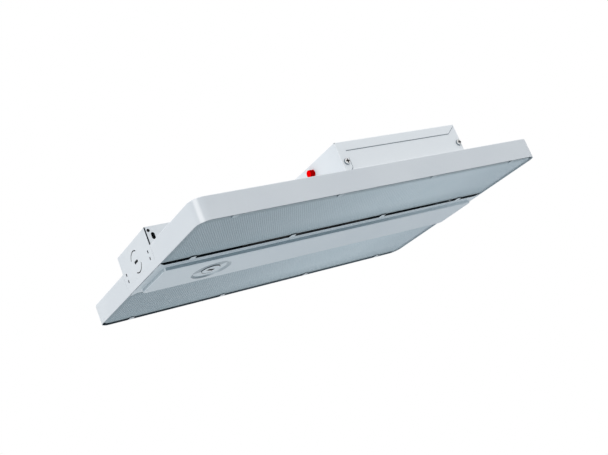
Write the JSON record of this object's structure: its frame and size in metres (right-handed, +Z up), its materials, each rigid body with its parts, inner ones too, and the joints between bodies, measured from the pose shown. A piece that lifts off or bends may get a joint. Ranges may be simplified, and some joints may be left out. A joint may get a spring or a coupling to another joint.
{
  "type": "high bay light",
  "caption": "Shallow rectangular ceiling light with two frosted lenses, a raised centre cover, a wireway on its back and an emergency battery box with a push button.",
  "frame": {"origin": "middle of the light's plan, on the underside of the centre cover's tray, its lowest face", "axes": "+X along the light towards its right end, +Y towards the far side, away from the battery box, +Z up, from the lenses to the back"},
  "size_m": [0.61, 0.402, 0.0808],
  "materials": {
    "white_steel": "satin",
    "frosted_lens": "frosted",
    "rivet": "satin",
    "board": "satin",
    "led": "gloss",
    "zinc_screw": "satin",
    "driver_case": "satin",
    "terminal": "matte",
    "ground_green": "gloss",
    "battery_wrap": "gloss",
    "strap_steel": "satin",
    "black_plastic": "matte",
    "red_plastic": "gloss"
  },
  "bodies": {
    "light": {"housing_pan": "white_steel", "wireway_channel": "white_steel", "channel_rivets": "rivet", "center_cover": "white_steel", "lens_near": "frosted_lens", "lens_far": "frosted_lens", "led_board_near_left": "board", "led_packages_near_left": "led", "led_board_near_right": "board", "led_packages_near_right": "led", "led_board_far_left": "board", "led_packages_far_left": "led", "led_board_far_right": "board", "led_packages_far_right": "led", "board_screws": "zinc_screw", "led_driver": "driver_case", "driver_screws": "zinc_screw", "terminal_block": "terminal", "ground_screw": "ground_green", "battery_box_body": "white_steel", "battery_box_lid": "white_steel", "lid_screws": "zinc_screw", "box_screws": "zinc_screw", "battery_pack": "battery_wrap", "battery_strap": "strap_steel", "strap_screws": "zinc_screw", "emergency_driver": "driver_case", "emergency_screws": "zinc_screw", "snap_bushing": "black_plastic", "test_switch_body": "black_plastic", "test_switch_nut": "red_plastic"},
    "button": {"test_button": "red_plastic"}
  },
  "joints": [
    {"name": "test_button_slide", "type": "slide", "parent": "light", "child": "button", "axis": [1, 0, 0], "range_m": [0, 0.0018], "stiffness_N_per_m": 300, "springref_m": -0.001}
  ]
}
